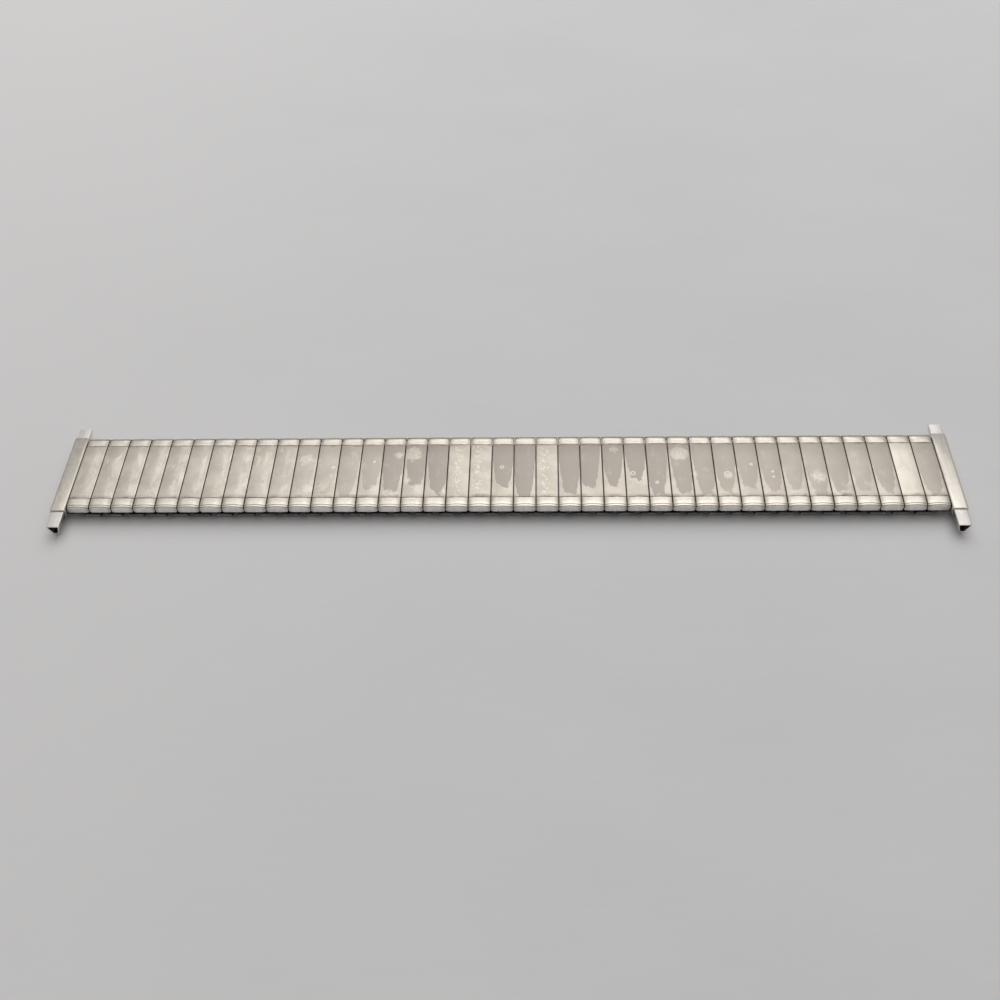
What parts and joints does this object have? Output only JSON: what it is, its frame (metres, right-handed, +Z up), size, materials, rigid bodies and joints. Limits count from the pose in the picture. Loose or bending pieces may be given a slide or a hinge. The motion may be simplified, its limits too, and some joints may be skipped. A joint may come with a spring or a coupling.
{
  "type": "expansion watch band",
  "caption": "Flat metal watch bracelet of two rows of sprung sleeve links that stretches and wraps round a wrist, with telescoping tube ends for the watch's spring bars.",
  "frame": {"origin": "bottom centre of the box round the whole band, at rest on a table", "axes": "+X along the band, +Y from its front edge to its back edge, +Z up through the top links"},
  "size_m": [0.15, 0.0216, 0.0031],
  "materials": {
    "link_steel": "fine satin on the centre panel, polished ends, hairline scratches and worn film",
    "sleeve_steel": "plain rolled sheet, slightly dull",
    "casing_steel": "polished, softly scratched",
    "tube_steel": "drawn tube, rubbed by sliding",
    "spring_steel": "bright spring wire"
  },
  "bodies": {
    "top_link_01": {"top_link_01": "link_steel"},
    "bottom_link_01": {"bottom_link_01": "sleeve_steel"},
    "link_02": {"link_02": "link_steel"},
    "link_03": {"link_03": "link_steel"},
    "top_link_04": {"top_link_04": "link_steel"},
    "bottom_link_04": {"bottom_link_04": "sleeve_steel"},
    "link_05": {"link_05": "link_steel"},
    "link_06": {"link_06": "link_steel"},
    "link_07": {"link_07": "link_steel"},
    "top_link_08": {"top_link_08": "link_steel"},
    "bottom_link_08": {"bottom_link_08": "sleeve_steel"},
    "link_09": {"link_09": "link_steel"},
    "link_10": {"link_10": "link_steel"},
    "top_link_11": {"top_link_11": "link_steel"},
    "bottom_link_11": {"bottom_link_11": "sleeve_steel"},
    "link_12": {"link_12": "link_steel"},
    "link_13": {"link_13": "link_steel"},
    "link_14": {"link_14": "link_steel"},
    "top_link_15": {"top_link_15": "link_steel"},
    "bottom_link_15": {"bottom_link_15": "sleeve_steel"},
    "link_16": {"link_16": "link_steel"},
    "link_17": {"link_17": "link_steel"},
    "top_link_18": {"top_link_18": "link_steel"},
    "bottom_link_18": {"bottom_link_18": "sleeve_steel"},
    "link_19": {"link_19": "link_steel"},
    "link_20": {"link_20": "link_steel"},
    "link_21": {"link_21": "link_steel"},
    "top_link_22": {"top_link_22": "link_steel"},
    "bottom_link_22": {"bottom_link_22": "sleeve_steel"},
    "link_23": {"link_23": "link_steel"},
    "link_24": {"link_24": "link_steel"},
    "top_link_25": {"top_link_25": "link_steel"},
    "bottom_link_25": {"bottom_link_25": "sleeve_steel"},
    "link_26": {"link_26": "link_steel"},
    "link_27": {"link_27": "link_steel"},
    "link_28": {"link_28": "link_steel"},
    "top_link_29": {"top_link_29": "link_steel"},
    "bottom_link_29": {"bottom_link_29": "sleeve_steel"},
    "link_30": {"link_30": "link_steel"},
    "link_31": {"link_31": "link_steel"},
    "top_link_32": {"top_link_32": "link_steel"},
    "bottom_link_32": {"bottom_link_32": "sleeve_steel"},
    "link_33": {"link_33": "link_steel"},
    "link_34": {"link_34": "link_steel"},
    "link_35": {"link_35": "link_steel"},
    "top_link_36": {"top_link_36": "link_steel"},
    "bottom_link_36": {"bottom_link_36": "sleeve_steel"},
    "link_37": {"link_37": "link_steel"},
    "link_38": {"link_38": "link_steel"},
    "top_link_39": {"top_link_39": "link_steel"},
    "left_end": {"left_casing": "casing_steel", "left_connector": "sleeve_steel", "left_coil_spring": "spring_steel"},
    "right_end": {"right_casing": "casing_steel", "right_connector": "sleeve_steel", "right_coil_spring": "spring_steel"},
    "left_front_tube": {"left_front_tube": "tube_steel"},
    "left_back_tube": {"left_back_tube": "tube_steel"},
    "right_front_tube": {"right_front_tube": "tube_steel"},
    "right_back_tube": {"right_back_tube": "tube_steel"}
  },
  "joints": [
    {"name": "stretch_20", "type": "slide", "parent": "link_20", "child": "link_21", "axis": [1, 0, 0], "range_m": [0, 0.00115], "stiffness_N_per_m": 2000},
    {"name": "stretch_21", "type": "slide", "parent": "link_21", "child": "top_link_22", "axis": [1, 0, 0], "range_m": [0, 0.00115], "stiffness_N_per_m": 2000},
    {"name": "bend_22", "type": "hinge", "parent": "top_link_22", "child": "bottom_link_22", "pos_m": [0.008, 0.00045, 0.0011], "axis": [0, 1, 0], "range_deg": [0, 26], "stiffness_Nm_per_rad": 0.0005},
    {"name": "stretch_22", "type": "slide", "parent": "bottom_link_22", "child": "link_23", "axis": [1, 0, 0], "range_m": [0, 0.00115], "stiffness_N_per_m": 2000},
    {"name": "stretch_23", "type": "slide", "parent": "link_23", "child": "link_24", "axis": [1, 0, 0], "range_m": [0, 0.00115], "stiffness_N_per_m": 2000},
    {"name": "stretch_24", "type": "slide", "parent": "link_24", "child": "top_link_25", "axis": [1, 0, 0], "range_m": [0, 0.00115], "stiffness_N_per_m": 2000},
    {"name": "bend_25", "type": "hinge", "parent": "top_link_25", "child": "bottom_link_25", "pos_m": [0.0191, 0.00045, 0.0011], "axis": [0, 1, 0], "range_deg": [0, 26], "stiffness_Nm_per_rad": 0.0005},
    {"name": "stretch_25", "type": "slide", "parent": "bottom_link_25", "child": "link_26", "axis": [1, 0, 0], "range_m": [0, 0.00115], "stiffness_N_per_m": 2000},
    {"name": "stretch_26", "type": "slide", "parent": "link_26", "child": "link_27", "axis": [1, 0, 0], "range_m": [0, 0.00115], "stiffness_N_per_m": 2000},
    {"name": "stretch_27", "type": "slide", "parent": "link_27", "child": "link_28", "axis": [1, 0, 0], "range_m": [0, 0.00115], "stiffness_N_per_m": 2000},
    {"name": "stretch_28", "type": "slide", "parent": "link_28", "child": "top_link_29", "axis": [1, 0, 0], "range_m": [0, 0.00115], "stiffness_N_per_m": 2000},
    {"name": "bend_29", "type": "hinge", "parent": "top_link_29", "child": "bottom_link_29", "pos_m": [0.0339, 0.00045, 0.0011], "axis": [0, 1, 0], "range_deg": [0, 26], "stiffness_Nm_per_rad": 0.0005},
    {"name": "stretch_29", "type": "slide", "parent": "bottom_link_29", "child": "link_30", "axis": [1, 0, 0], "range_m": [0, 0.00115], "stiffness_N_per_m": 2000},
    {"name": "stretch_30", "type": "slide", "parent": "link_30", "child": "link_31", "axis": [1, 0, 0], "range_m": [0, 0.00115], "stiffness_N_per_m": 2000},
    {"name": "stretch_31", "type": "slide", "parent": "link_31", "child": "top_link_32", "axis": [1, 0, 0], "range_m": [0, 0.00115], "stiffness_N_per_m": 2000},
    {"name": "bend_32", "type": "hinge", "parent": "top_link_32", "child": "bottom_link_32", "pos_m": [0.045, 0.00045, 0.0011], "axis": [0, 1, 0], "range_deg": [0, 26], "stiffness_Nm_per_rad": 0.0005},
    {"name": "stretch_32", "type": "slide", "parent": "bottom_link_32", "child": "link_33", "axis": [1, 0, 0], "range_m": [0, 0.00115], "stiffness_N_per_m": 2000},
    {"name": "stretch_33", "type": "slide", "parent": "link_33", "child": "link_34", "axis": [1, 0, 0], "range_m": [0, 0.00115], "stiffness_N_per_m": 2000},
    {"name": "stretch_34", "type": "slide", "parent": "link_34", "child": "link_35", "axis": [1, 0, 0], "range_m": [0, 0.00115], "stiffness_N_per_m": 2000},
    {"name": "stretch_35", "type": "slide", "parent": "link_35", "child": "top_link_36", "axis": [1, 0, 0], "range_m": [0, 0.00115], "stiffness_N_per_m": 2000},
    {"name": "bend_36", "type": "hinge", "parent": "top_link_36", "child": "bottom_link_36", "pos_m": [0.0598, 0.00045, 0.0011], "axis": [0, 1, 0], "range_deg": [0, 26], "stiffness_Nm_per_rad": 0.0005},
    {"name": "stretch_36", "type": "slide", "parent": "bottom_link_36", "child": "link_37", "axis": [1, 0, 0], "range_m": [0, 0.00115], "stiffness_N_per_m": 2000},
    {"name": "stretch_37", "type": "slide", "parent": "link_37", "child": "link_38", "axis": [1, 0, 0], "range_m": [0, 0.00115], "stiffness_N_per_m": 2000},
    {"name": "stretch_38", "type": "slide", "parent": "link_38", "child": "top_link_39", "axis": [1, 0, 0], "range_m": [0, 0.00115], "stiffness_N_per_m": 2000},
    {"name": "bend_39", "type": "hinge", "parent": "top_link_39", "child": "right_end", "pos_m": [0.0709, 0.00045, 0.0011], "axis": [0, 1, 0], "range_deg": [0, 26], "stiffness_Nm_per_rad": 0.0005},
    {"name": "stretch_19", "type": "slide", "parent": "link_20", "child": "link_19", "axis": [-1, 0, 0], "range_m": [0, 0.00115], "stiffness_N_per_m": 2000},
    {"name": "stretch_18", "type": "slide", "parent": "link_19", "child": "bottom_link_18", "axis": [-1, 0, 0], "range_m": [0, 0.00115], "stiffness_N_per_m": 2000},
    {"name": "bend_18", "type": "hinge", "parent": "bottom_link_18", "child": "top_link_18", "pos_m": [-0.0068, 0.00045, 0.0011], "axis": [0, -1, 0], "range_deg": [0, 26], "stiffness_Nm_per_rad": 0.0005},
    {"name": "stretch_17", "type": "slide", "parent": "top_link_18", "child": "link_17", "axis": [-1, 0, 0], "range_m": [0, 0.00115], "stiffness_N_per_m": 2000},
    {"name": "stretch_16", "type": "slide", "parent": "link_17", "child": "link_16", "axis": [-1, 0, 0], "range_m": [0, 0.00115], "stiffness_N_per_m": 2000},
    {"name": "stretch_15", "type": "slide", "parent": "link_16", "child": "bottom_link_15", "axis": [-1, 0, 0], "range_m": [0, 0.00115], "stiffness_N_per_m": 2000},
    {"name": "bend_15", "type": "hinge", "parent": "bottom_link_15", "child": "top_link_15", "pos_m": [-0.0179, 0.00045, 0.0011], "axis": [0, -1, 0], "range_deg": [0, 26], "stiffness_Nm_per_rad": 0.0005},
    {"name": "stretch_14", "type": "slide", "parent": "top_link_15", "child": "link_14", "axis": [-1, 0, 0], "range_m": [0, 0.00115], "stiffness_N_per_m": 2000},
    {"name": "stretch_13", "type": "slide", "parent": "link_14", "child": "link_13", "axis": [-1, 0, 0], "range_m": [0, 0.00115], "stiffness_N_per_m": 2000},
    {"name": "stretch_12", "type": "slide", "parent": "link_13", "child": "link_12", "axis": [-1, 0, 0], "range_m": [0, 0.00115], "stiffness_N_per_m": 2000},
    {"name": "stretch_11", "type": "slide", "parent": "link_12", "child": "bottom_link_11", "axis": [-1, 0, 0], "range_m": [0, 0.00115], "stiffness_N_per_m": 2000},
    {"name": "bend_11", "type": "hinge", "parent": "bottom_link_11", "child": "top_link_11", "pos_m": [-0.0327, 0.00045, 0.0011], "axis": [0, -1, 0], "range_deg": [0, 26], "stiffness_Nm_per_rad": 0.0005},
    {"name": "stretch_10", "type": "slide", "parent": "top_link_11", "child": "link_10", "axis": [-1, 0, 0], "range_m": [0, 0.00115], "stiffness_N_per_m": 2000},
    {"name": "stretch_09", "type": "slide", "parent": "link_10", "child": "link_09", "axis": [-1, 0, 0], "range_m": [0, 0.00115], "stiffness_N_per_m": 2000},
    {"name": "stretch_08", "type": "slide", "parent": "link_09", "child": "bottom_link_08", "axis": [-1, 0, 0], "range_m": [0, 0.00115], "stiffness_N_per_m": 2000},
    {"name": "bend_08", "type": "hinge", "parent": "bottom_link_08", "child": "top_link_08", "pos_m": [-0.0438, 0.00045, 0.0011], "axis": [0, -1, 0], "range_deg": [0, 26], "stiffness_Nm_per_rad": 0.0005},
    {"name": "stretch_07", "type": "slide", "parent": "top_link_08", "child": "link_07", "axis": [-1, 0, 0], "range_m": [0, 0.00115], "stiffness_N_per_m": 2000},
    {"name": "stretch_06", "type": "slide", "parent": "link_07", "child": "link_06", "axis": [-1, 0, 0], "range_m": [0, 0.00115], "stiffness_N_per_m": 2000},
    {"name": "stretch_05", "type": "slide", "parent": "link_06", "child": "link_05", "axis": [-1, 0, 0], "range_m": [0, 0.00115], "stiffness_N_per_m": 2000},
    {"name": "stretch_04", "type": "slide", "parent": "link_05", "child": "bottom_link_04", "axis": [-1, 0, 0], "range_m": [0, 0.00115], "stiffness_N_per_m": 2000},
    {"name": "bend_04", "type": "hinge", "parent": "bottom_link_04", "child": "top_link_04", "pos_m": [-0.0586, 0.00045, 0.0011], "axis": [0, -1, 0], "range_deg": [0, 26], "stiffness_Nm_per_rad": 0.0005},
    {"name": "stretch_03", "type": "slide", "parent": "top_link_04", "child": "link_03", "axis": [-1, 0, 0], "range_m": [0, 0.00115], "stiffness_N_per_m": 2000},
    {"name": "stretch_02", "type": "slide", "parent": "link_03", "child": "link_02", "axis": [-1, 0, 0], "range_m": [0, 0.00115], "stiffness_N_per_m": 2000},
    {"name": "stretch_01", "type": "slide", "parent": "link_02", "child": "bottom_link_01", "axis": [-1, 0, 0], "range_m": [0, 0.00115], "stiffness_N_per_m": 2000},
    {"name": "bend_01", "type": "hinge", "parent": "bottom_link_01", "child": "top_link_01", "pos_m": [-0.0697, 0.00045, 0.0011], "axis": [0, -1, 0], "range_deg": [0, 26], "stiffness_Nm_per_rad": 0.0005},
    {"name": "stretch_00", "type": "slide", "parent": "top_link_01", "child": "left_end", "axis": [-1, 0, 0], "range_m": [0, 0.00115], "stiffness_N_per_m": 2000},
    {"name": "left_front_tube_press", "type": "slide", "parent": "left_end", "child": "left_front_tube", "axis": [0, 1, 0], "range_m": [-0.0002, 0.0032], "stiffness_N_per_m": 150, "deforming": ["left_coil_spring"]},
    {"name": "left_back_tube_press", "type": "slide", "parent": "left_end", "child": "left_back_tube", "axis": [0, -1, 0], "range_m": [-0.0011, 0.0023], "stiffness_N_per_m": 150, "deforming": ["left_coil_spring"]},
    {"name": "right_front_tube_press", "type": "slide", "parent": "right_end", "child": "right_front_tube", "axis": [0, 1, 0], "range_m": [-0.0002, 0.0032], "stiffness_N_per_m": 150, "deforming": ["right_coil_spring"]},
    {"name": "right_back_tube_press", "type": "slide", "parent": "right_end", "child": "right_back_tube", "axis": [0, -1, 0], "range_m": [-0.0011, 0.0023], "stiffness_N_per_m": 150, "deforming": ["right_coil_spring"]}
  ],
  "couplings": [
    {"joint": "stretch_21", "follows": "stretch_20", "ratio": 1},
    {"joint": "stretch_22", "follows": "stretch_20", "ratio": 1},
    {"joint": "stretch_23", "follows": "stretch_20", "ratio": 1},
    {"joint": "stretch_24", "follows": "stretch_20", "ratio": 1},
    {"joint": "stretch_25", "follows": "stretch_20", "ratio": 1},
    {"joint": "stretch_26", "follows": "stretch_20", "ratio": 1},
    {"joint": "stretch_27", "follows": "stretch_20", "ratio": 1},
    {"joint": "stretch_28", "follows": "stretch_20", "ratio": 1},
    {"joint": "stretch_29", "follows": "stretch_20", "ratio": 1},
    {"joint": "stretch_30", "follows": "stretch_20", "ratio": 1},
    {"joint": "stretch_31", "follows": "stretch_20", "ratio": 1},
    {"joint": "stretch_32", "follows": "stretch_20", "ratio": 1},
    {"joint": "stretch_33", "follows": "stretch_20", "ratio": 1},
    {"joint": "stretch_34", "follows": "stretch_20", "ratio": 1},
    {"joint": "stretch_35", "follows": "stretch_20", "ratio": 1},
    {"joint": "stretch_36", "follows": "stretch_20", "ratio": 1},
    {"joint": "stretch_37", "follows": "stretch_20", "ratio": 1},
    {"joint": "stretch_38", "follows": "stretch_20", "ratio": 1},
    {"joint": "stretch_19", "follows": "stretch_20", "ratio": 1},
    {"joint": "stretch_18", "follows": "stretch_20", "ratio": 1},
    {"joint": "stretch_17", "follows": "stretch_20", "ratio": 1},
    {"joint": "stretch_16", "follows": "stretch_20", "ratio": 1},
    {"joint": "stretch_15", "follows": "stretch_20", "ratio": 1},
    {"joint": "stretch_14", "follows": "stretch_20", "ratio": 1},
    {"joint": "stretch_13", "follows": "stretch_20", "ratio": 1},
    {"joint": "stretch_12", "follows": "stretch_20", "ratio": 1},
    {"joint": "stretch_11", "follows": "stretch_20", "ratio": 1},
    {"joint": "stretch_10", "follows": "stretch_20", "ratio": 1},
    {"joint": "stretch_09", "follows": "stretch_20", "ratio": 1},
    {"joint": "stretch_08", "follows": "stretch_20", "ratio": 1},
    {"joint": "stretch_07", "follows": "stretch_20", "ratio": 1},
    {"joint": "stretch_06", "follows": "stretch_20", "ratio": 1},
    {"joint": "stretch_05", "follows": "stretch_20", "ratio": 1},
    {"joint": "stretch_04", "follows": "stretch_20", "ratio": 1},
    {"joint": "stretch_03", "follows": "stretch_20", "ratio": 1},
    {"joint": "stretch_02", "follows": "stretch_20", "ratio": 1},
    {"joint": "stretch_01", "follows": "stretch_20", "ratio": 1},
    {"joint": "stretch_00", "follows": "stretch_20", "ratio": 1},
    {"joint": "bend_25", "follows": "bend_22", "ratio": 1},
    {"joint": "bend_29", "follows": "bend_22", "ratio": 1},
    {"joint": "bend_32", "follows": "bend_22", "ratio": 1},
    {"joint": "bend_36", "follows": "bend_22", "ratio": 1},
    {"joint": "bend_39", "follows": "bend_22", "ratio": 1},
    {"joint": "bend_18", "follows": "bend_22", "ratio": 1},
    {"joint": "bend_15", "follows": "bend_22", "ratio": 1},
    {"joint": "bend_11", "follows": "bend_22", "ratio": 1},
    {"joint": "bend_08", "follows": "bend_22", "ratio": 1},
    {"joint": "bend_04", "follows": "bend_22", "ratio": 1},
    {"joint": "bend_01", "follows": "bend_22", "ratio": 1}
  ]
}
